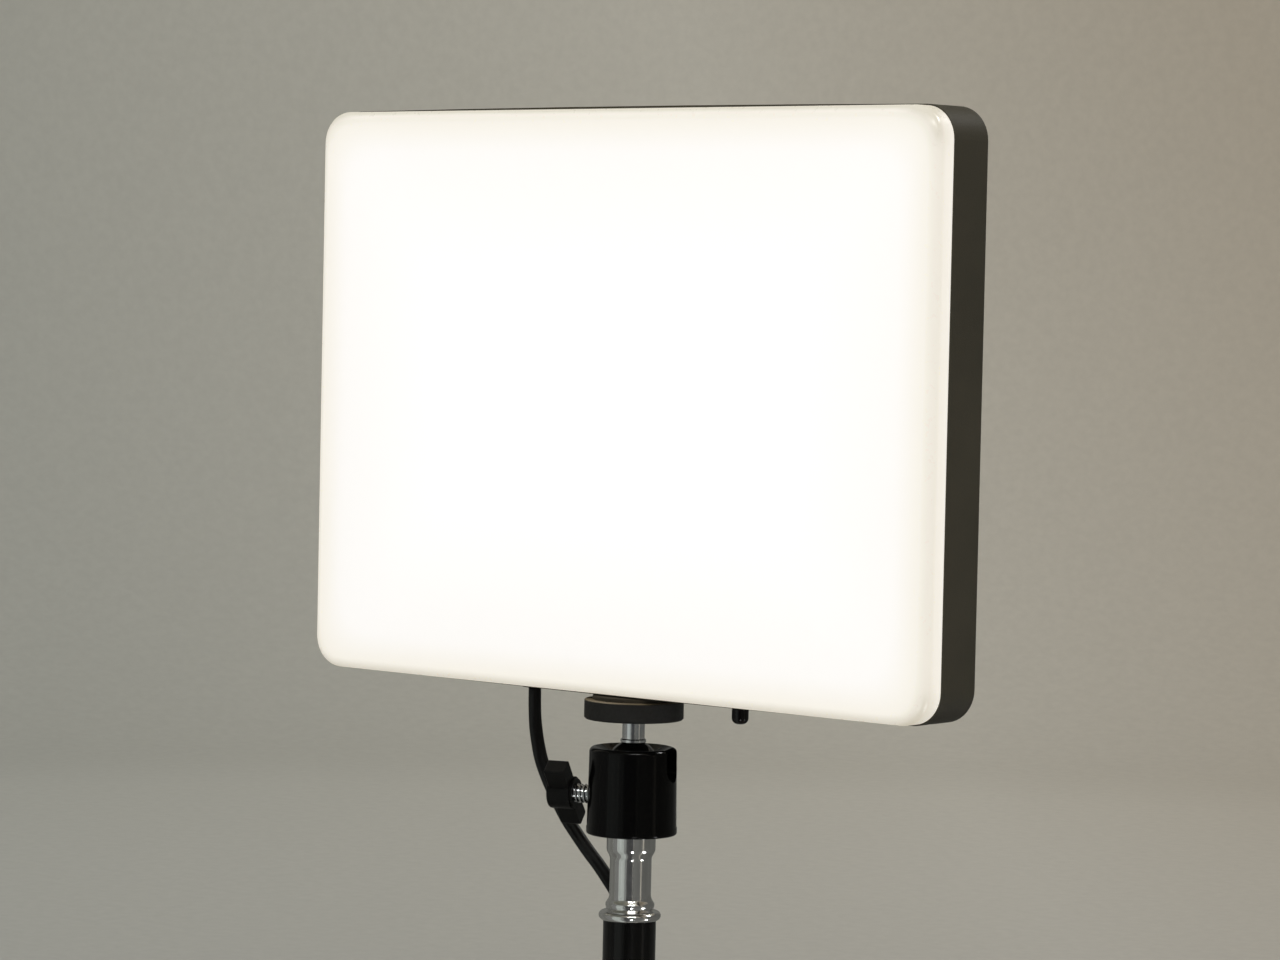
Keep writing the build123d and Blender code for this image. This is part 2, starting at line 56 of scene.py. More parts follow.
away = Vector(
    (
        math.sin(CAMERA_AZIMUTH) * math.cos(CAMERA_PITCH),
        -math.cos(CAMERA_AZIMUTH) * math.cos(CAMERA_PITCH),
        math.sin(CAMERA_PITCH),
    )
)
level_right = Vector((math.cos(CAMERA_AZIMUTH), math.sin(CAMERA_AZIMUTH), 0))
level_up = away.cross(level_right)
camera_right = level_right * math.cos(CAMERA_ROLL) + level_up * math.sin(CAMERA_ROLL)
camera_up = level_up * math.cos(CAMERA_ROLL) - level_right * math.sin(CAMERA_ROLL)
camera_data = bpy.data.cameras.new("camera")
camera_data.lens = LENS_MM
camera_data.sensor_width = 36.0
camera_data.clip_start = 0.05
camera_data.clip_end = 30.0
camera = bpy.data.objects.new("camera", camera_data)
bpy.context.collection.objects.link(camera)
camera.matrix_world = Matrix(
    (
        (camera_right.x, camera_up.x, away.x, CAMERA_TARGET.x + away.x * CAMERA_DISTANCE),
        (camera_right.y, camera_up.y, away.y, CAMERA_TARGET.y + away.y * CAMERA_DISTANCE),
        (camera_right.z, camera_up.z, away.z, CAMERA_TARGET.z + away.z * CAMERA_DISTANCE),
        (0, 0, 0, 1),
    )
)
bpy.context.scene.camera = camera

# ------------------------------------------------------------------ lead
# Flat two-core lead in soft black PVC, moulded as two round cores side by side. It leaves
# the panel's underside, passes behind the lock knob, runs down behind the spigot and is
# wound round the stand tube with its spare length, down to the plug.
MM = 0.001
CORE_RADIUS = 1.3 * MM
CORE_OFFSET = 0.8 * MM
POINTS_PER_CORE = 10
TUBE_RADIUS = 8.0 * MM
LEAD_SIDE = math.radians(129.0)
WINDING_TOP = 198.0 * MM
WINDING_FOOT = 91.2 * MM
WINDING_TURNS = 24
POINTS_PER_TURN = 16
# a spline of these points runs a little inside them
INSIDE_POINTS = (1 + math.cos(math.tau / POINTS_PER_TURN)) / 2
WINDING_RADIUS = (TUBE_RADIUS + CORE_RADIUS + 0.03 * MM) / INSIDE_POINTS
# where the lead bends into the winding: degrees turned, and millimetres above its top
RUN_IN = [(1.0, 3.2), (7.0, 0.6), (20.0, -1.2), (40.0, -2.1)]
RUN_IN_TURN = math.radians(62.0)
RUN_IN_DROP = 2.15 * MM
# the way the free lead's flat side faces, and its twist just under the panel, in degrees
FREE_SIDE = 130.2
PANEL_TWIST = 35.0
# the heights over which the lead twists, and over which it comes to lie on the tube
TWIST_FOOT = 262 * MM
TWIST_RISE = 18 * MM
LIE_FOOT = 206 * MM
LIE_RISE = 20 * MM

upper_route = [
    (-40.0, 0, 287.4),
    (-40.0, 0, 279.2),
    (-39.2, 0.6, 270.8),
    (-37.4, 1.5, 262.4),
    (-34.2, 2.9, 255.5),
]
middle_route = [
    (-34.2, 2.9, 255.5),
    (-31.0, 4.3, 248.6),
    (-26.2, 4.3, 243.6),
    (-20.8, 4.0, 238.5),
    (-15.4, 4.5, 233.4),
    (-12.4, 6.5, 227.9),
]
lower_route = [
    (-12.4, 6.5, 227.9),
    (-9.4, 8.5, 222.4),
    (-8.0, 9.6, 216.4),
    (-6.9, 8.8, 210.4),
    (-5.9, 7.3, 204.6),
]
tail_route = [
    (-5.9, 7.3, 86.6),
    (-6.9, 8.5, 81.8),
    (-7.9, 9.8, 76.8),
    (-7.9, 9.8, 70.0),
]


def in_metres(route):
    return [Vector(point) * MM for point in route]


def wound_route():
    """The turns round the tube, with the same bend into the winding and out of it."""
    whole = WINDING_TURNS * math.tau
    first_turn = RUN_IN_TURN
    last_turn = whole - RUN_IN_TURN
    top = WINDING_TOP - RUN_IN_DROP
    foot = WINDING_FOOT + RUN_IN_DROP
    steps = round((last_turn - first_turn) / math.tau * POINTS_PER_TURN)
    places = [(math.radians(turned), WINDING_TOP + rise * MM) for turned, rise in RUN_IN]
    for step in range(steps + 1):
        share = step / steps
        places.append((first_turn + (last_turn - first_turn) * share, top + (foot - top) * share))
    for turned, rise in reversed(RUN_IN):
        places.append((whole - math.radians(turned), WINDING_FOOT - rise * MM))
    return [
        Vector(
            (
                WINDING_RADIUS * math.cos(LEAD_SIDE + turn),
                WINDING_RADIUS * math.sin(LEAD_SIDE + turn),
                height,
            )
        )
        for turn, height in places
    ]


def smooth_line(name, points, per_span):
    """Points along the NURBS spline that has these control points."""
    curve = bpy.data.curves.new(name, "CURVE")
    curve.dimensions = "3D"
    curve.resolution_u = per_span
    spline = curve.splines.new("NURBS")
    spline.points.add(len(points) - 1)
    for control, point in zip(spline.points, points):
        control.co = (point.x, point.y, point.z, 1)
    spline.order_u = 3
    spline.use_endpoint_u = True
    holder = bpy.data.objects.new(name, curve)
    bpy.context.collection.objects.link(holder)
    bpy.context.view_layer.update()
    mesh = bpy.data.meshes.new_from_object(holder)
    line = [vertex.co.copy() for vertex in mesh.vertices]
    bpy.data.objects.remove(holder)
    bpy.data.meshes.remove(mesh)
    bpy.data.curves.remove(curve)
    return line


def twin_section():
    """The outline of two round cores side by side: (across, outwards) places."""
    places = []
    reach = math.acos(-CORE_OFFSET / CORE_RADIUS)
    for side in (1, -1):
        for step in range(POINTS_PER_CORE):
            angle = -reach + 2 * reach * step / POINTS_PER_CORE
            across = CORE_OFFSET + CORE_RADIUS * math.cos(angle)
            outwards = CORE_RADIUS * math.sin(angle)
            places.append((side * across, side * outwards))
    return places


def twin_lead(name, line, faces_at):
    """A flat lead's mesh along a line; faces_at gives the way its flat side faces at a place."""
    section = twin_section()
    vertices = []
    for i, here in enumerate(line):
        before = line[max(i - 1, 0)]
        after = line[min(i + 1, len(line) - 1)]
        heading = (after - before).normalized()
        flat = faces_at(here)
        flat = (flat - heading * flat.dot(heading)).normalized()
        across = heading.cross(flat)
        for wide, out in section:
            vertices.append(here + across * wide + flat * out)
    count = len(section)
    faces = []
    for ring in range(len(line) - 1):
        for k in range(count):
            a = ring * count + k
            b = ring * count + (k + 1) % count
            faces.append((a, b, b + count, a + count))
    faces.append(tuple(range(count - 1, -1, -1)))
    faces.append(tuple(range((len(line) - 1) * count, len(line) * count)))
    mesh = bpy.data.meshes.new(name)
    mesh.from_pydata(vertices, [], faces)
    for face in mesh.polygons:
        face.use_smooth = True
    piece = bpy.data.objects.new(name, mesh)
    bpy.context.collection.objects.link(piece)
    return piece


def eased(height, foot, rise):
    """0 up to the foot, 1 from its rise upwards, and smooth between them."""
    share = min(max((height - foot) / rise, 0.0), 1.0)
    return share * share * (3 - 2 * share)


def faces_free(here):
    """The flat side's normal on the free stretch, twisted where it leaves the panel."""
    turned = math.radians(FREE_SIDE + PANEL_TWIST * eased(here.z, TWIST_FOOT, TWIST_RISE))
    return Vector((math.cos(turned), math.sin(turned), 0))


def faces_away_from_tube(here):
    """The flat side's normal near the tube, where it lies against it."""
    radial = Vector((here.x, here.y, 0)).normalized()
    share = eased(here.z, LIE_FOOT, LIE_RISE)
    return (radial * (1 - share) + faces_free(here) * share).normalized()


upper_line = smooth_line("upper", in_metres(upper_route), per_span=12)
middle_line = smooth_line("middle", in_metres(middle_route), per_span=12)
wound_points = in_metres(lower_route) + wound_route() + in_metres(tail_route)
wound_line = smooth_line("wound", wound_points, per_span=4)
upper_lead = twin_lead("lead_from_panel", upper_line, faces_free)
middle_lead = twin_lead("lead_past_head", middle_line, faces_free)
wound_lead = twin_lead("lead_on_tube", wound_line, faces_away_from_tube)


def start_finish(name, even_values):
    """A new material: its tree, its shader with these even values, and the piece's coordinates."""
    made = bpy.data.materials.new(name)
    made.use_nodes = True
    tree = made.node_tree
    shader = tree.nodes["Principled BSDF"]
    for socket, value in even_values.items():
        shader.inputs[socket].default_value = value
    place = tree.nodes.new("ShaderNodeTexCoord").outputs["Object"]
    return made, tree, shader, place


def add(tree, kind, inputs, **settings):
    """A shader node: a socket given for an input is joined to it, a value is set on it."""
    made = tree.nodes.new(kind)
    for key, value in settings.items():
        setattr(made, key, value)
    for key, value in inputs.items():
        if isinstance(value, bpy.types.NodeSocket):
            tree.links.new(value, made.inputs[key])
        else:
            made.inputs[key].default_value = value
    return made


def grain(tree, place, scale, detail=3.0, rough=0.55):
    """Cloudy variation, 0 to 1, so many times to the metre."""
    inputs = {"Vector": place, "Scale": scale, "Detail": detail, "Roughness": rough}
    return add(tree, "ShaderNodeTexNoise", inputs).outputs["Fac"]


def spread(tree, value, low, high, from_low=0.3, from_high=0.7):
    """A pattern, between two of its values, spread over a range and held within it."""
    inputs = {"Value": value, "From Min": from_low, "From Max": from_high, "To Min": low, "To Max": high}
    return add(tree, "ShaderNodeMapRange", inputs).outputs["Result"]


def colour_by(tree, shader, pattern, first, second, socket="Base Color"):
    """A colour between two: the first where the pattern is 0, the second where it is 1."""
    mix = add(tree, "ShaderNodeMix", {"Factor": pattern}, data_type="RGBA")
    mix.inputs[6].default_value = (*first, 1)
    mix.inputs[7].default_value = (*second, 1)
    tree.links.new(mix.outputs[2], shader.inputs[socket])


def roughen_by(tree, shader, pattern, low, high, from_low=0.3, from_high=0.7):
    """Roughness between two values, by a 0 to 1 pattern."""
    tree.links.new(spread(tree, pattern, low, high, from_low, from_high), shader.inputs["Roughness"])


def raise_by(tree, shader, height, depth):
    """Relief of this depth in metres, from a 0 to 1 height."""
    bump = add(tree, "ShaderNodeBump", {"Height": height, "Distance": depth, "Strength": 1.0})
    tree.links.new(bump.outputs["Normal"], shader.inputs["Normal"])


def lead_pvc():
    made, tree, shader, place = start_finish("lead_pvc", {"Specular IOR Level": 0.35})
    cloud = spread(tree, grain(tree, place, 260.0), 0.0, 1.0)
    colour_by(tree, shader, cloud, (0.003, 0.003, 0.003), (0.007, 0.0067, 0.0064))
    roughen_by(tree, shader, grain(tree, place, 900.0), 0.34, 0.5)
    raise_by(tree, shader, grain(tree, place, 2400.0), 0.02 * MM)
    return made


lead_finish = lead_pvc()
for lead, node, first, second, line in (
    (upper_lead, "cord_upper", "ball", "panel", upper_line),
    (middle_lead, "cord_middle", "head", "ball", middle_line),
):
    lead.data.materials.append(lead_finish)
    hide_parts(node)
    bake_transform(lead)
wound_lead.data.materials.append(lead_finish)
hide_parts("cord_lower", "cord_winding", "cord_tail")
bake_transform(wound_lead)

# ------------------------------------------------------------------ tie
# Black hook-and-loop tape wrapped round the lowest turns of the winding. Its free end laps
# over the band and stands a little off it.
TAPE_WIDTH = 10 * MM
TAPE_THICKNESS = 0.55 * MM
LAP_THICKNESS = 0.5 * MM
LAP_INSET = 0.2 * MM
LAP_LIFT = 0.35 * MM
# degrees round the tube: where the lap starts, lifts off the band and ends
LAP_START = 118
LAP_FREE = 192
LAP_END = 206
TIE_FOOT = WINDING_FOOT + 2 * MM
# a hair outside the winding
TIE_RADIUS = TUBE_RADIUS + 2 * CORE_RADIUS + 0.06 * MM
# a wave repeats every 0.314 of a metre over its scale, and the weave every 1.085 mm
WEAVE_SCALE = 289.52


def reckon(tree, operation, *values):
    """The result of a math node on these values."""
    return add(tree, "ShaderNodeMath", dict(enumerate(values)), operation=operation).outputs["Value"]


def woven_tape():
    made, tree, shader, place = start_finish(
        "woven_tape", {"Roughness": 0.85, "Sheen Weight": 0.35, "Sheen Roughness": 0.5}
    )
    across = add(
        tree, "ShaderNodeTexWave", {"Vector": place, "Scale": WEAVE_SCALE, "Distortion": 0.4},
        bands_direction="Z",
    ).outputs["Fac"]
    fluff = grain(tree, place, 3200.0, 4.0, 0.7)
    colour_by(tree, shader, spread(tree, fluff, 0.0, 1.0), (0.012, 0.012, 0.012), (0.045, 0.044, 0.042))
    raise_by(tree, shader, reckon(tree, "ADD", across, fluff), 0.12 * MM)
    return made


def deselect():
    if bpy.context.object and bpy.context.object.mode != "OBJECT":
        bpy.ops.object.mode_set(mode="OBJECT")
    bpy.ops.object.select_all(action="DESELECT")


def take(piece):
    """Makes this the only selected piece, and the active one."""
    deselect()
    piece.select_set(True)
    bpy.context.view_layer.objects.active = piece


def pick(piece, kind, wanted):
    """In edit mode, selects only the vertices, edges or faces that the rule wants."""
    bpy.ops.object.mode_set(mode="EDIT")
    bpy.ops.mesh.select_mode(type=kind)
    bpy.ops.mesh.select_all(action="DESELECT")
    bpy.ops.object.mode_set(mode="OBJECT")
    parts = {"VERT": piece.data.vertices, "EDGE": piece.data.edges, "FACE": piece.data.polygons}[kind]
    for part in parts:
        part.select = bool(wanted(part))
    bpy.ops.object.mode_set(mode="EDIT")


def apply_modifier(piece, kind, **settings):
    """Adds a modifier with these settings and applies it."""
    take(piece)
    modifier = piece.modifiers.new(kind.lower(), kind)
    for key, value in settings.items():
        setattr(modifier, key, value)
    bpy.ops.object.modifier_apply(modifier=modifier.name)


def break_edges(piece, width, **settings):
    """Rounds a piece's sharp edges off by this width."""
    apply_modifier(piece, "BEVEL", width=width, segments=2, limit_method="ANGLE", **settings)


def settle(piece, name, body, finish, smooth=30.0):
    """Names a finished piece, puts its place into its mesh and seats it on its body."""
    take(piece)
    bpy.ops.object.transform_apply(location=True, rotation=True, scale=True)
    bpy.ops.object.shade_smooth_by_angle(angle=math.radians(smooth))
    piece.name = name
    piece.data.name = name
    piece.data.materials.clear()
    piece.data.materials.append(finish)
    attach(piece, body)


def degrees_round(vertex):
    """How far round the axis a vertex is, in degrees from +X."""
    return math.degrees(math.atan2(vertex.co.y, vertex.co.x))


def tape_band(radius, first, last, foot, width, thickness):
    """A strip of tape bent round the tube's axis between two angles."""
    deselect()
    bpy.ops.mesh.primitive_circle_add(vertices=120, radius=radius, location=(0, 0, foot))
    band = bpy.context.object
    bpy.ops.object.transform_apply(location=True, rotation=True, scale=True)
    pick(band, "VERT", lambda vertex: (degrees_round(vertex) - first) % 360 > last - first)
    bpy.ops.mesh.delete(type="VERT")
    bpy.ops.mesh.select_all(action="SELECT")
    bpy.ops.mesh.extrude_region_move(TRANSFORM_OT_translate={"value": (0, 0, width)})
    bpy.ops.object.mode_set(mode="OBJECT")
    apply_modifier(band, "SOLIDIFY", thickness=thickness, offset=1.0)
    break_edges(band, 0.2 * MM)
    return band


tape_finish = woven_tape()
tie_band = tape_band(TIE_RADIUS, 0, 360, TIE_FOOT, TAPE_WIDTH, TAPE_THICKNESS)
settle(tie_band, "tie_band", "stand", tape_finish)
tie_lap = tape_band(
    TIE_RADIUS + TAPE_THICKNESS + 0.01 * MM, LAP_START, LAP_END, TIE_FOOT + LAP_INSET,
    TAPE_WIDTH - 2 * LAP_INSET, LAP_THICKNESS,
)
pick(tie_lap, "VERT", lambda vertex: degrees_round(vertex) % 360 > LAP_FREE)
bpy.ops.transform.translate(value=(-LAP_LIFT, 0, 0), use_proportional_edit=False)
bpy.ops.object.mode_set(mode="OBJECT")
settle(tie_lap, "tie_lap", "stand", tape_finish)
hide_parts("cord_tie")

# ------------------------------------------------------------------ plug
# Overmoulded USB plug on the lead's end: a soft ribbed relief and a grip with a ridged
# panel on each flat side, round a nickel-plated sleeve with its white tongue.
PLUG_TURN = LEAD_SIDE + math.pi / 2
PLUG_PLACE = Vector((-7.9, 9.8, 0)) * MM
# the plug's parts are sized in millimetres, upright on the axis: wide, thick, tall
COVER_SIZE = (15.2, 7.8, 27.0)
COVER_MIDDLE = (0, 0, 48.5)
COVER_CORNER = 2.4 * MM
GRIP_LOW = 36 * MM
GRIP_HIGH = 61 * MM
RELIEF_STEP = 0.5 * MM
# how each step of the relief narrows: across, and through
RELIEF_TAPER = [(0.96, 0.96), (0.9, 0.84)] * 3 + [(0.97, 0.97)]
RIDGE_SIZE = (7.6, 0.5, 0.9)
RIDGE_OUT = 3.65
RIDGE_LOWEST = 41.0
RIDGE_PITCH = 2.7
RIDGES_A_SIDE = 6
SLEEVE_SIZE = (11.4, 3.9, 12.4)
SLEEVE_MIDDLE = (0, 0, 29.2)
SLEEVE_WALL = 0.3 * MM
WINDOW_SIZE = (2.2, 9.0, 2.2)
WINDOW_OUT = 2.9
CONTACT_SIZE = (1.0, 0.12, 8.6)
CONTACT_PLACES = (-3.5, -1.0, 1.0, 3.5)
CONTACT_HEIGHT = 28.6


def block(size, middle):
    """A box of this size about this place, both in millimetres."""
    deselect()
    bpy.ops.mesh.primitive_cube_add(size=1, location=[part * MM for part in middle])
    made = bpy.context.object
    made.scale = [part * MM for part in size]
    bpy.ops.object.transform_apply(location=True, rotation=True, scale=True)
    return made


def copied(piece, shift):
    """A copy with its own mesh, moved by this many millimetres."""
    other = piece.copy()
    other.data = piece.data.copy()
    bpy.context.collection.objects.link(other)
    other.data.transform(Matrix.Translation(Vector(shift) * MM))
    return other


def hang_on_plug(piece):
    """Moves a plug part, modelled upright on the axis, out to where the plug hangs."""
    piece.rotation_euler = (0, 0, PLUG_TURN)
    piece.location = PLUG_PLACE


def overmould():
    made, tree, shader, place = start_finish("overmould", {})
    colour_by(tree, shader, grain(tree, place, 500.0), (0.014, 0.014, 0.014), (0.026, 0.026, 0.025))
    roughen_by(tree, shader, grain(tree, place, 700.0), 0.45, 0.62)
    raise_by(tree, shader, grain(tree, place, 4200.0, 2.0), 0.03 * MM)
    return made


def is_upright(edge, mesh):
    """Whether an edge is one of the cover's four tall ones."""
    low, high = sorted(mesh.vertices[end].co.z for end in edge.vertices)
    return high - low > COVER_SIZE[2] * MM / 2


cover = block(COVER_SIZE, COVER_MIDDLE)
pick(cover, "EDGE", lambda edge: is_upright(edge, cover.data))
bpy.ops.mesh.bevel(offset=COVER_CORNER, segments=5, affect="EDGES")
bpy.ops.object.mode_set(mode="OBJECT")
pick(cover, "FACE", lambda face: face.normal.z > 0.9)
bpy.ops.mesh.inset(thickness=0.7 * MM)
bpy.ops.transform.translate(value=(0, 0, RELIEF_STEP))
bpy.ops.mesh.inset(thickness=0.8 * MM)
for across, through in RELIEF_TAPER:
    bpy.ops.mesh.extrude_region_move(TRANSFORM_OT_translate={"value": (0, 0, RELIEF_STEP)})
    bpy.ops.mesh.extrude_region_move(TRANSFORM_OT_translate={"value": (0, 0, RELIEF_STEP)})
    bpy.ops.transform.resize(value=(across, through, 1))
bpy.ops.object.mode_set(mode="OBJECT")
pick(cover, "FACE", lambda face: abs(face.normal.y) > 0.9 and GRIP_LOW < face.center.z < GRIP_HIGH)
bpy.ops.mesh.inset(thickness=1.4 * MM, use_individual=True)
bpy.ops.mesh.inset(thickness=0.4 * MM, depth=-0.45 * MM, use_individual=True)
bpy.ops.object.mode_set(mode="OBJECT")
break_edges(cover, 0.25 * MM, angle_limit=0.6)
ridge = block(RIDGE_SIZE, (0, -RIDGE_OUT, RIDGE_LOWEST))
break_edges(ridge, 0.22 * MM)
shifts = [(0, side, row * RIDGE_PITCH) for side in (0, 2 * RIDGE_OUT) for row in range(RIDGES_A_SIDE)]
ridges = [ridge] + [copied(ridge, shift) for shift in shifts[1:]]
overmould_finish = overmould()
hang_on_plug(cover)
settle(cover, "plug_cover", "stand", overmould_finish)
for number, piece in enumerate(ridges, 1):
    hang_on_plug(piece)
    settle(piece, "plug_ridge_%02d" % number, "stand", overmould_finish)
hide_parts("usb_plug_cover")


def stretched(tree, place, across, along):
    """Coordinates drawn out along the height: so many to the metre across, and along it."""
    scale = (across, across, along)
    return add(tree, "ShaderNodeMapping", {"Vector": place, "Scale": scale}).outputs["Vector"]


def sleeve_nickel():
    made, tree, shader, place = start_finish("sleeve_nickel", {"Metallic": 1.0})
    streak = grain(tree, stretched(tree, place, 2600.0, 60.0), 1.0, 3.0)
    roughen_by(tree, shader, streak, 0.2, 0.4)
    colour_by(tree, shader, grain(tree, place, 320.0), (0.56, 0.54, 0.50), (0.70, 0.69, 0.66))
    raise_by(tree, shader, streak, 0.004 * MM)
    return made


sleeve = block(SLEEVE_SIZE, SLEEVE_MIDDLE)
pick(sleeve, "FACE", lambda face: abs(face.normal.z) > 0.9)
bpy.ops.mesh.delete(type="FACE")
bpy.ops.object.mode_set(mode="OBJECT")
apply_modifier(sleeve, "SOLIDIFY", thickness=SLEEVE_WALL, offset=1.0)
window = block(WINDOW_SIZE, (WINDOW_OUT, 0, CONTACT_HEIGHT))
apply_modifier(sleeve, "BOOLEAN", object=window, operation="DIFFERENCE")
for vertex in window.data.vertices:
    vertex.co.x -= 2 * WINDOW_OUT * MM
apply_modifier(sleeve, "BOOLEAN", object=window, operation="DIFFERENCE")
bpy.data.objects.remove(window)
break_edges(sleeve, 0.12 * MM)
hang_on_plug(sleeve)
settle(sleeve, "plug_sleeve", "stand", sleeve_nickel())
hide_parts("usb_plug_shell")


def tongue_plastic():
    made, tree, shader, place = start_finish("tongue_plastic", {"Roughness": 0.45})
    colour_by(tree, shader, grain(tree, place, 420.0), (0.76, 0.75, 0.71), (0.86, 0.86, 0.84))
    raise_by(tree, shader, grain(tree, place, 3000.0), 0.01 * MM)
    return made


def dress(node, finish):
    """Gives a CAD node this finish."""
    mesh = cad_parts[node].data
    mesh.materials.clear()
    mesh.materials.append(finish)


dress("usb_tongue", tongue_plastic())


def contact_gold():
    made, tree, shader, place = start_finish("contact_gold", {"Metallic": 1.0})
    roughen_by(tree, shader, grain(tree, place, 1600.0), 0.18, 0.34)
    colour_by(tree, shader, grain(tree, place, 900.0), (0.74, 0.53, 0.22), (0.88, 0.68, 0.34))
    return made


contact = block(CONTACT_SIZE, (CONTACT_PLACES[0], 0, CONTACT_HEIGHT))
break_edges(contact, 0.04 * MM)
contacts = [contact]
for across in CONTACT_PLACES[1:]:
    contacts.append(copied(contact, (across - CONTACT_PLACES[0], 0, 0)))
gold = contact_gold()
for number, piece in enumerate(contacts, 1):
    hang_on_plug(piece)
    settle(piece, "plug_contact_%d" % number, "stand", gold)

# ------------------------------------------------------------------ stand tube and bush
# Steel tube, gloss black paint, with the nylon bush that slides in the stand's next
# section pressed on its foot.


def tube_enamel():
    made, tree, shader, place = start_finish("tube_enamel", {"Specular IOR Level": 0.25})
    lines = grain(tree, stretched(tree, place, 900.0, 14.0), 1.0, 4.0, 0.7)
    roughen_by(tree, shader, lines, 0.10, 0.26, 0.35, 0.75)
    colour_by(tree, shader, grain(tree, place, 90.0), (0.0018, 0.0018, 0.0018), (0.004, 0.0038, 0.0035))
    raise_by(tree, shader, grain(tree, place, 340.0, 1.0), 0.02 * MM)
    return made


def bush_nylon():
    made, tree, shader, place = start_finish("bush_nylon", {})
    lines = grain(tree, stretched(tree, place, 1200.0, 40.0), 1.0)
    colour_by(tree, shader, spread(tree, lines, 0.0, 1.0), (0.040, 0.040, 0.040), (0.075, 0.074, 0.072))
    roughen_by(tree, shader, lines, 0.38, 0.6)
    raise_by(tree, shader, lines, 0.03 * MM)
    return made


dress("stand_tube", tube_enamel())
dress("slide_bush", bush_nylon())

# ------------------------------------------------------------------ spigot
# Turned and chrome-plated spigot riveted into the tube: a bead at its foot, a bulge and a
# waist. The zinc-plated stud screwed into it takes the ball head.


def bright_chrome():
    made, tree, shader, place = start_finish("bright_chrome", {"Metallic": 1.0})
    roughen_by(tree, shader, grain(tree, place, 420.0, 4.0), 0.09, 0.17)
    colour_by(tree, shader, grain(tree, place, 160.0), (0.70, 0.70, 0.69), (0.84, 0.84, 0.83))
    raise_by(tree, shader, grain(tree, place, 700.0, 2.0), 0.004 * MM)
    return made


def turned_zinc():
    made, tree, shader, place = start_finish("turned_zinc", {"Metallic": 1.0})
    turning = add(
        tree, "ShaderNodeTexWave", {"Vector": place, "Scale": 900.0, "Distortion": 1.2, "Detail": 2.0},
        bands_direction="Z",
    ).outputs["Fac"]
    tone_drift = grain(tree, place, 380.0, 4.0)
    colour_by(tree, shader, spread(tree, tone_drift, 0.0, 1.0), (0.66, 0.68, 0.71), (0.80, 0.80, 0.79))
    roughen_by(tree, shader, tone_drift, 0.12, 0.24)
    raise_by(tree, shader, turning, 0.002 * MM)
    return made


zinc = turned_zinc()
dress("spigot", bright_chrome())
dress("spigot_stud", zinc)

# ------------------------------------------------------------------ ball head
# Moulded housing in glossy black with a dished top, a spherical seat and a slot for the
# stem. A ring screwed into its foot holds the steel bush that the stud screws into.


def gloss_black(name, roughness, level):
    made, tree, shader, place = start_finish(name, {"Specular IOR Level": level})
    roughen_by(tree, shader, grain(tree, place, 620.0, 5.0, 0.7), roughness, roughness + 0.12, 0.35, 0.8)
    dust = spread(tree, grain(tree, place, 5200.0, 2.0), 0.0, 1.0, 0.66, 0.74)
    colour_by(tree, shader, dust, (0.0018, 0.0018, 0.0018), (0.02, 0.019, 0.0175))
    raise_by(tree, shader, grain(tree, place, 260.0, 1.0), 0.01 * MM)
    return made


housing_finish = gloss_black("housing_gloss", 0.10, 0.15)
dress("head_housing", housing_finish)
dress("base_ring", housing_finish)
dress("head_insert", zinc)


def cup_acetal():
    made, tree, shader, place = start_finish("cup_acetal", {"Roughness": 0.4})
    colour_by(tree, shader, grain(tree, place, 300.0), (0.74, 0.73, 0.69), (0.84, 0.84, 0.82))
    raise_by(tree, shader, grain(tree, place, 2600.0), 0.01 * MM)
    return made


def turned_brass():
    made, tree, shader, place = start_finish("turned_brass", {"Metallic": 1.0})
    turning = grain(tree, place, 2100.0, 2.0)
    roughen_by(tree, shader, turning, 0.22, 0.4)
    colour_by(tree, shader, grain(tree, place, 260.0), (0.62, 0.44, 0.19), (0.76, 0.58, 0.30))
    raise_by(tree, shader, turning, 0.005 * MM)
    return made


brass = turned_brass()
dress("ball_cup", cup_acetal())
dress("pressure_pad", brass)

# ------------------------------------------------------------------ lock
# Zinc-plated screw, threaded its whole length, that presses the brass pad on the cup. The
# moulded T-bar knob is pressed and glued on its end.
LOCK_HEIGHT = 257.2 * MM
LOCK_TURN = math.radians(199.0)
THREAD_PITCH = 1.27 * MM
THREAD_START = 8.8 * MM
THREAD_TURNS = 11
# one pitch of the thread: (radius, place along the screw) in millimetres
THREAD_PROFILE = [(2.42, 0.0), (2.93, 0.52), (2.93, 0.68), (2.42, 1.20), (2.42, 1.27)]

deselect()
bpy.ops.mesh.primitive_plane_add(size=1, location=(0, 0, 0))
thread = bpy.context.object
thread.data.clear_geometry()
thread.data.from_pydata(
    [(radius * MM, 0, THREAD_START + along * MM) for radius, along in THREAD_PROFILE],
    [(i, i + 1) for i in range(len(THREAD_PROFILE) - 1)],
    [],
)
apply_modifier(
    thread, "SCREW", axis="Z", screw_offset=THREAD_PITCH, iterations=THREAD_TURNS, steps=40,
    render_steps=40, use_merge_vertices=True, merge_threshold=0.004 * MM, use_normal_calculate=True,
)
take(thread)
bpy.ops.object.mode_set(mode="EDIT")
bpy.ops.mesh.select_all(action="SELECT")
bpy.ops.mesh.remove_doubles(threshold=0.002 * MM)
bpy.ops.mesh.fill_holes(sides=0)
bpy.ops.mesh.normals_make_consistent(inside=False)
bpy.ops.object.mode_set(mode="OBJECT")
thread.rotation_euler = (0, math.pi / 2, LOCK_TURN)
thread.location = (0, 0, LOCK_HEIGHT)
settle(thread, "lock_thread", "lock", zinc, smooth=40.0)
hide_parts("lock_screw")


def satin_moulding():
    made, tree, shader, place = start_finish("satin_moulding", {"Specular IOR Level": 0.12})
    colour_by(tree, shader, grain(tree, place, 420.0), (0.003, 0.003, 0.003), (0.007, 0.0067, 0.0064))
    roughen_by(tree, shader, grain(tree, place, 1500.0), 0.3, 0.46)
    raise_by(tree, shader, grain(tree, place, 2600.0, 2.0), 0.02 * MM)
    return made


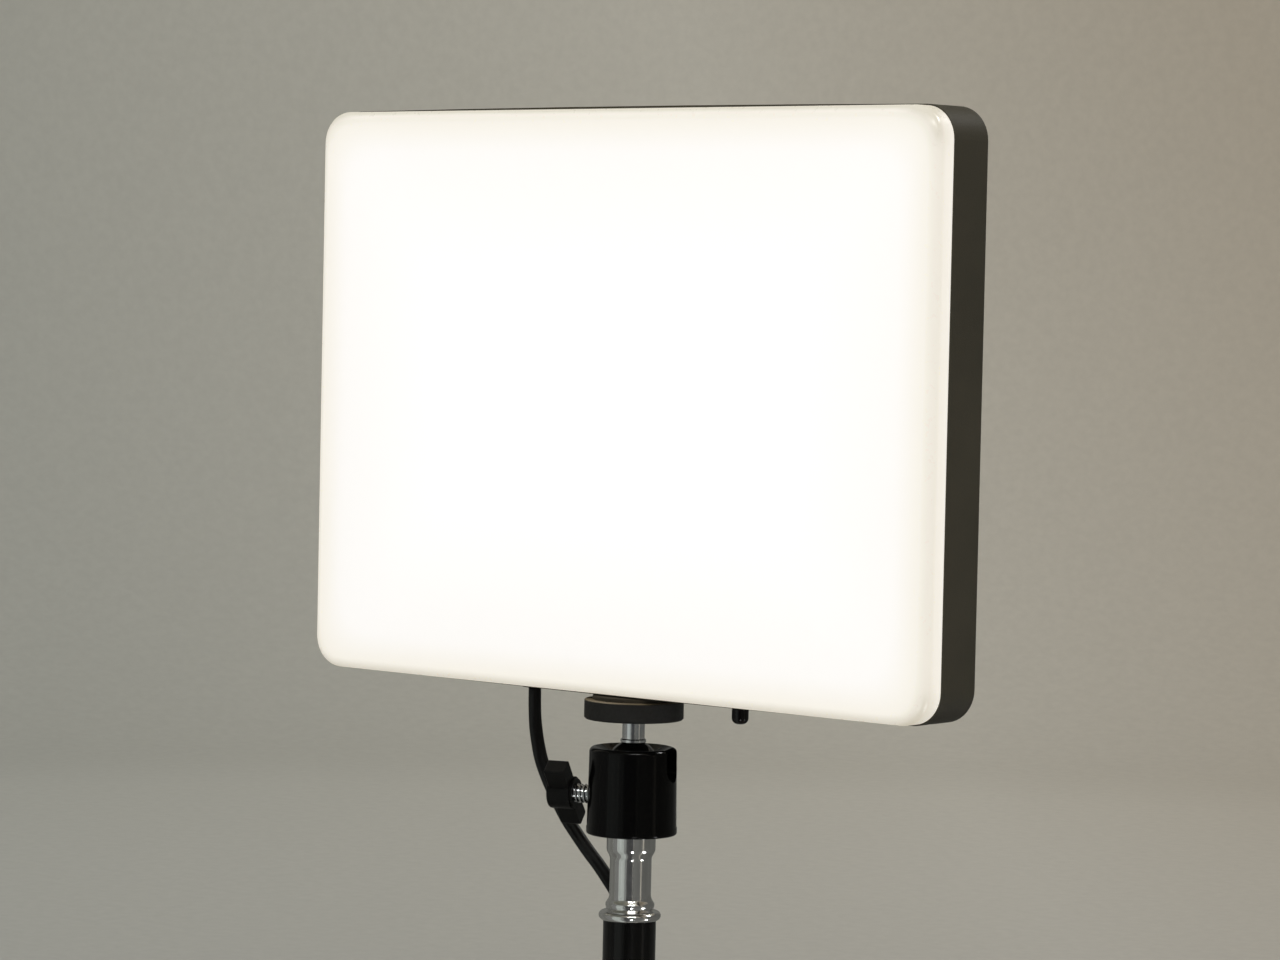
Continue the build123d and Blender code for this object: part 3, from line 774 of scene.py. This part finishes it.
dress("lock_knob", satin_moulding())

# ------------------------------------------------------------------ ball, stem and platform
# Glossy ball on a turned zinc stem. The platform disc is moulded in matt black, lighter and
# warmer on top, with a rubber pad bonded to it.
dress("ball", gloss_black("ball_shine", 0.06, 0.8))
dress("ball_stem", zinc)
# the disc's top is lighter and warmer, and this thins out down its rounded edge
TOP_TONE_FOOT = 286.40 * MM
TOP_TONE_TOP = 286.68 * MM


def platform_matt():
    made, tree, shader, place = start_finish("platform_matt", {"Specular IOR Level": 0.35})
    height = add(tree, "ShaderNodeSeparateXYZ", {"Vector": place}).outputs["Z"]
    on_top = spread(tree, height, 0.0, 1.0, TOP_TONE_FOOT, TOP_TONE_TOP)
    cloud = grain(tree, place, 900.0, 5.0, 0.7)
    # the disc's top is lighter and warmer than its sides
    lighter_top = reckon(tree, "MULTIPLY", on_top, spread(tree, cloud, 0.65, 1.0))
    colour_by(tree, shader, lighter_top, (0.010, 0.0095, 0.0085), (0.30, 0.25, 0.175))
    roughen_by(tree, shader, cloud, 0.5, 0.72)
    raise_by(tree, shader, grain(tree, place, 3600.0, 2.0), 0.03 * MM)
    return made


def soft_rubber():
    made, tree, shader, place = start_finish("soft_rubber", {"Roughness": 0.75})
    colour_by(tree, shader, grain(tree, place, 700.0), (0.030, 0.026, 0.020), (0.070, 0.060, 0.045))
    raise_by(tree, shader, grain(tree, place, 2200.0), 0.04 * MM)
    return made


rubber = soft_rubber()
dress("platform_disc", platform_matt())
dress("platform_pad", rubber)
dress("cable_grommet", rubber)

# ------------------------------------------------------------------ panel shell
# Back shell moulded in fine-textured warm black, with a brass insert in its bottom wall
# that the stem screws into, and the receiver's dark resin dome beside it.


def textured_shell():
    made, tree, shader, place = start_finish("textured_shell", {"Specular IOR Level": 0.25})
    cloud = spread(tree, grain(tree, place, 38.0, 4.0), 0.0, 1.0)
    colour_by(tree, shader, cloud, (0.044, 0.040, 0.0275), (0.054, 0.0485, 0.0335))
    fine = grain(tree, place, 2600.0, 3.0, 0.6)
    roughen_by(tree, shader, fine, 0.48, 0.68)
    raise_by(tree, shader, fine, 0.07 * MM)
    return made


def receiver_resin():
    made, tree, shader, place = start_finish("receiver_resin", {"Specular IOR Level": 0.3})
    colour_by(tree, shader, grain(tree, place, 300.0), (0.002, 0.0015, 0.0015), (0.006, 0.003, 0.003))
    roughen_by(tree, shader, grain(tree, place, 900.0), 0.05, 0.14)
    return made


dress("back_shell", textured_shell())
dress("insert_nut", brass)
dress("ir_receiver", receiver_resin())

# ------------------------------------------------------------------ light and driver boards
# White aluminium light board with rows of emitters, screwed to the shell's posts, and a
# small green driver board behind it. They sit behind the opal cover.
COLUMN_PITCH = 18.6 * MM
ROW_PITCH = 19.4 * MM
# wide copper tracks show as duller bands, one to every two rows
TRACK_HEIGHT = 379.2 * MM
TRACK_HALF = 8.8 * MM
PHOSPHOR_RADIUS = 1.2 * MM
EDGE_SOFTNESS = 0.2 * MM


def board_varnish():
    made, tree, shader, place = start_finish("board_varnish", {})
    height = add(tree, "ShaderNodeSeparateXYZ", {"Vector": place}).outputs["Z"]
    from_track = reckon(tree, "PINGPONG", reckon(tree, "SUBTRACT", height, TRACK_HEIGHT), ROW_PITCH)
    track = spread(tree, from_track, 1.0, 0.0, TRACK_HALF - EDGE_SOFTNESS, TRACK_HALF + EDGE_SOFTNESS)
    colour_by(tree, shader, track, (0.86, 0.86, 0.83), (0.74, 0.74, 0.70))
    raise_by(tree, shader, track, 0.04 * MM)
    roughen_by(tree, shader, grain(tree, place, 500.0), 0.28, 0.42)
    return made


def emitter_phosphor():
    made, tree, shader, place = start_finish("emitter_phosphor", {"Roughness": 0.4})
    sideways = add(tree, "ShaderNodeSeparateXYZ", {"Vector": place}).outputs["X"]
    half_pitch = COLUMN_PITCH / 2
    from_column = reckon(tree, "PINGPONG", reckon(tree, "ADD", sideways, half_pitch), half_pitch)
    inner = PHOSPHOR_RADIUS - EDGE_SOFTNESS
    outer = PHOSPHOR_RADIUS + EDGE_SOFTNESS
    beside = spread(tree, from_column, 0.0, 1.0, inner, outer)
    colour_by(tree, shader, beside, (0.95, 0.78, 0.32), (0.93, 0.92, 0.88))
    return made


def driver_green():
    made, tree, shader, place = start_finish("driver_green", {"Roughness": 0.3})
    wander = {"Vector": place, "Scale": 260.0, "Distortion": 6.0, "Detail": 1.0}
    tracks = spread(tree, add(tree, "ShaderNodeTexWave", wander).outputs["Fac"], 0.0, 1.0, 0.72, 0.76)
    colour_by(tree, shader, tracks, (0.02, 0.15, 0.06), (0.05, 0.28, 0.11))
    raise_by(tree, shader, tracks, 0.03 * MM)
    return made


def chip_moulding():
    made, tree, shader, place = start_finish("chip_moulding", {"Roughness": 0.55})
    colour_by(tree, shader, grain(tree, place, 2000.0), (0.02, 0.02, 0.02), (0.045, 0.045, 0.045))
    return made


dress("led_board", board_varnish())
dress("leds", emitter_phosphor())
dress("board_screws", zinc)
dress("driver_board", driver_green())
dress("driver_parts", chip_moulding())

# ------------------------------------------------------------------ opal cover
# Opal acrylic tray clipped into the shell, with a rounded front edge. It is lit from
# behind: white over its face, and duller and creamier in its rim.
OPAL_FRONT = -16.3 * MM
OPAL_HALF_WIDTH = 119.7 * MM
OPAL_MIDDLE = 375.5 * MM
OPAL_HALF_HEIGHT = 87.2 * MM
CORNER_BLEND = 20 * MM
# the share of the rim's depth that counts as distance in from the edge
DEPTH_SHARE = 0.7
RIM_LIGHT = (0.34, 0.30, 0.20, 1)
FACE_LIGHT = (0.765, 0.765, 0.76, 1)
# how far in the face is fully lit, and the light nearer the edge, in millimetres from it
FACE_FROM = 60.0
LIGHT_BETWEEN = [
    (1.0, (0.54, 0.50, 0.42, 1)),
    (3.0, (0.66, 0.62, 0.54, 1)),
    (12.0, (0.72, 0.70, 0.68, 1)),
]


def lit_opal():
    made, tree, shader, place = start_finish(
        "lit_opal", {"Base Color": (0.43, 0.43, 0.435, 1), "Emission Strength": 1.0}
    )
    apart = add(tree, "ShaderNodeSeparateXYZ", {"Vector": place}).outputs

    def inside(value, middle, half):
        """How far inside an edge a place is, across one way of the face."""
        off = reckon(tree, "ABSOLUTE", reckon(tree, "SUBTRACT", value, middle))
        return reckon(tree, "SUBTRACT", half, off)

    depth = reckon(tree, "SUBTRACT", apart["Y"], OPAL_FRONT)
    across = inside(apart["X"], 0.0, OPAL_HALF_WIDTH)
    from_side = reckon(tree, "MULTIPLY_ADD", depth, DEPTH_SHARE, across)
    from_end = inside(apart["Z"], OPAL_MIDDLE, OPAL_HALF_HEIGHT)
    nearest = reckon(tree, "SMOOTH_MIN", from_side, from_end, CORNER_BLEND)
    share = spread(tree, nearest, 0.0, 1.0, 0.0, FACE_FROM * MM)
    glow = add(tree, "ShaderNodeValToRGB", {"Fac": share})
    ramp = glow.color_ramp
    ramp.elements[0].color = RIM_LIGHT
    ramp.elements[1].color = FACE_LIGHT
    for distance, light in LIGHT_BETWEEN:
        ramp.elements.new(distance / FACE_FROM).color = light
    tree.links.new(glow.outputs["Color"], shader.inputs["Emission Color"])
    roughen_by(tree, shader, grain(tree, place, 600.0), 0.25, 0.4)
    raise_by(tree, shader, grain(tree, place, 1800.0), 0.01 * MM)
    return made


dress("diffuser", lit_opal())

# ------------------------------------------------------------------ floor and studio wall
# Seamless plaster cove in warm grey. It stands round the light on all sides, and its floor
# bends up into the wall.
# Its colour carries painted shade on the floor and painted light across the wall.
COVE_RADIUS = 2.3
COVE_BEND = 0.7
COVE_WALL = 2.2
BEND_STEPS = 12
# painted light across the plaster: its colour drifts this way, from greenish over pale to brownish
PAINTED_LIGHT_RUNS = (0.76, 0.65, 0.35)
PAINTED_LIGHT_START = (0.539, 0.548, 0.513, 1)
PAINTED_LIGHT_PALE = (0.705, 0.688, 0.631, 1)
PAINTED_LIGHT_END = (0.607, 0.558, 0.480, 1)
# painted shade: the floor is darker up to this distance from the light, and then brightens out to the
# next
PAINTED_SHADE_TO = 1.25
PAINTED_SHADE_GONE_AT = 2.10


def cove_plaster():
    made, tree, shader, place = start_finish(
        "cove_plaster", {"Roughness": 0.85, "Specular IOR Level": 0.0}
    )
    apart = add(tree, "ShaderNodeSeparateXYZ", {"Vector": place}).outputs
    along = add(
        tree, "ShaderNodeVectorMath", {0: place, 1: PAINTED_LIGHT_RUNS}, operation="DOT_PRODUCT"
    ).outputs["Value"]
    # painted light: the colour drifts across the wall along the way given above
    tone_drift = add(tree, "ShaderNodeValToRGB", {"Fac": spread(tree, along, 0.0, 1.0, -0.5, 0.85)})
    tone_drift.color_ramp.elements[0].color = PAINTED_LIGHT_START
    tone_drift.color_ramp.elements[1].color = PAINTED_LIGHT_END
    tone_drift.color_ramp.elements.new(0.58).color = PAINTED_LIGHT_PALE
    mottle = spread(tree, grain(tree, place, 110.0, 2.0), 0.975, 1.025)
    # painted shade: the floor darker than the wall, up to the top of the bend
    painted_shade_by_height = spread(tree, apart["Z"], 0.92, 1.0, 0.0, COVE_BEND)
    flat = add(tree, "ShaderNodeCombineXYZ", {"X": apart["X"], "Y": apart["Y"]}).outputs["Vector"]
    out = add(tree, "ShaderNodeVectorMath", {0: flat}, operation="LENGTH").outputs["Value"]
    # painted shade: the floor darker near the light
    painted_shade_by_distance = spread(tree, out, 0.755, 1.0, PAINTED_SHADE_TO, PAINTED_SHADE_GONE_AT)
    shade = reckon(tree, "MULTIPLY", reckon(tree, "MULTIPLY", painted_shade_by_height, painted_shade_by_distance), mottle)
    toned = add(
        tree, "ShaderNodeVectorMath", {"Vector": tone_drift.outputs["Color"], "Scale": shade},
        operation="SCALE",
    ).outputs["Vector"]
    tree.links.new(toned, shader.inputs["Base Color"])
    raise_by(tree, shader, grain(tree, place, 60.0), 0.3 * MM)
    return made


deselect()
bpy.ops.mesh.primitive_circle_add(
    vertices=128, radius=COVE_RADIUS, fill_type="NGON", location=(0, 0, 0)
)
cove = bpy.context.object
bpy.ops.object.mode_set(mode="EDIT")
bpy.ops.mesh.select_mode(type="FACE")
bpy.ops.mesh.select_all(action="SELECT")
bpy.ops.mesh.region_to_loop()
last_rise = 0.0
radius = COVE_RADIUS
for step in range(1, BEND_STEPS + 1):
    angle = math.radians(90 * step / BEND_STEPS)
    rise = COVE_BEND * (1 - math.cos(angle))
    wider = COVE_RADIUS + COVE_BEND * math.sin(angle)
    bpy.ops.mesh.extrude_region_move(TRANSFORM_OT_translate={"value": (0, 0, rise - last_rise)})
    bpy.ops.transform.resize(value=(wider / radius, wider / radius, 1))
    radius = wider
    last_rise = rise
bpy.ops.mesh.extrude_region_move(TRANSFORM_OT_translate={"value": (0, 0, COVE_WALL)})
bpy.ops.mesh.select_all(action="SELECT")
bpy.ops.mesh.normals_make_consistent(inside=True)
bpy.ops.object.mode_set(mode="OBJECT")
bpy.ops.object.shade_smooth_by_angle(angle=math.radians(30))
cove.name = "cove"
cove.data.materials.append(cove_plaster())

# ------------------------------------------------------------------ lamps
# Large soft boxes high round the light, with an even sky over them. Gloss and metal show
# curved boards and four small lamps in their place.
LAMPS_AIM = Vector((0, 0, 0.3))
BOARD_RADIUS = 1.15
BOARD_HEIGHT = 1.0
CLOTH_LIFT = 3 * MM
CLOTH_REACH = 0.06


def soft_box(name, azimuth, height, distance, width, depth, power, in_gloss=False):
    """A lamp at this azimuth, which lights either plain surfaces or only gloss."""
    lamp = bpy.data.lights.new(name, "AREA")
    lamp.shape = "RECTANGLE"
    lamp.size = width
    lamp.size_y = depth
    lamp.energy = power
    holder = bpy.data.objects.new(name, lamp)
    bpy.context.collection.objects.link(holder)
    holder.visible_camera = False
    holder.visible_glossy = in_gloss
    holder.visible_diffuse = not in_gloss
    turn = math.radians(azimuth)
    place = Vector((math.sin(turn) * distance, -math.cos(turn) * distance, height))
    holder.location = place
    holder.rotation_euler = (LAMPS_AIM - place).to_track_quat("-Z", "Y").to_euler()


def board_glow(name, level):
    even_values = {
        "Base Color": (0, 0, 0, 1),
        "Roughness": 1.0,
        "Specular IOR Level": 0.0,
        "Emission Strength": 1.0,
    }
    made, tree, shader, place = start_finish(name, even_values)
    uneven = spread(tree, grain(tree, place, 5.0), 0.0, 1.0)
    dim, bright = ([share * part for part in level] for share in (0.75, 1.25))
    colour_by(tree, shader, uneven, dim, bright, "Emission Color")
    return made


def studio_board(name, first, last, level):
    """A tall curved board between two azimuths, with a floor cloth before it.

    It only shows in gloss and metal.
    """
    deselect()
    bpy.ops.mesh.primitive_circle_add(vertices=360, radius=BOARD_RADIUS, location=(0, 0, 0))
    board = bpy.context.object
    pick(board, "VERT", lambda vertex: (degrees_round(vertex) + 90 - first) % 360 > last - first)
    bpy.ops.mesh.delete(type="VERT")
    bpy.ops.mesh.select_all(action="SELECT")
    bpy.ops.mesh.extrude_region_move(TRANSFORM_OT_translate={"value": (0, 0, BOARD_HEIGHT)})
    bpy.ops.object.mode_set(mode="OBJECT")
    pick(board, "VERT", lambda vertex: vertex.co.z < BOARD_HEIGHT / 2)
    bpy.ops.transform.translate(value=(0, 0, CLOTH_LIFT))
    bpy.ops.mesh.extrude_region_move(TRANSFORM_OT_translate={"value": (0, 0, 0.5 * MM)})
    bpy.ops.transform.resize(value=(CLOTH_REACH, CLOTH_REACH, 1), center_override=(0, 0, 0))
    bpy.ops.object.mode_set(mode="OBJECT")
    board.name = name
    board.data.materials.append(board_glow(name, level))
    board.visible_camera = False
    board.visible_diffuse = False
    board.visible_shadow = False


studio_board("grey_board", -160, -54, (0.17, 0.17, 0.155))
studio_board("soft_board", -54, -28, (0.20, 0.20, 0.19))
studio_board("pale_board", -28, 6, (0.46, 0.49, 0.46))
studio_board("edge_board", 6, 17, (0.22, 0.23, 0.22))
studio_board("dark_board", 17, 52, (0.06, 0.06, 0.06))
studio_board("far_board", 52, 98, (0.14, 0.14, 0.13))
studio_board("line_board", 98, 103, (0.50, 0.47, 0.40))
studio_board("end_board", 103, 200, (0.12, 0.12, 0.11))
# azimuth, height, distance, width, depth and power
soft_box("front_box", 10.0, 2.3, 1.6, 1.6, 1.2, 24.5)
soft_box("right_box", 72.0, 2.1, 1.8, 1.2, 1.2, 23.0)
soft_box("left_box", -75.0, 2.1, 1.8, 1.2, 1.2, 20.0)
soft_box("back_box", 190.0, 2.3, 1.7, 1.6, 1.2, 9.0)
soft_box("spark_left", 50.0, 1.9, 1.5, 1.0, 0.18, 12.0, in_gloss=True)
soft_box("spark_right", 148.0, 1.9, 1.5, 0.26, 0.26, 12.0, in_gloss=True)
soft_box("low_spark_left", 48.0, 0.05, 0.4, 0.05, 0.05, 0.24, in_gloss=True)
soft_box("low_spark_right", 108.0, 0.05, 0.4, 0.06, 0.06, 0.34, in_gloss=True)
sky = bpy.data.worlds.new("sky")
sky.use_nodes = True
sky.node_tree.nodes["Background"].inputs["Color"].default_value = (1.0, 1.0, 0.98, 1)
ray = sky.node_tree.nodes.new("ShaderNodeLightPath").outputs["Is Glossy Ray"]
overhead = spread(sky.node_tree, ray, 0.9, 0.4, 0.0, 1.0)
sky.node_tree.links.new(overhead, sky.node_tree.nodes["Background"].inputs["Strength"])
bpy.context.scene.world = sky
bpy.context.scene.view_settings.view_transform = "Standard"
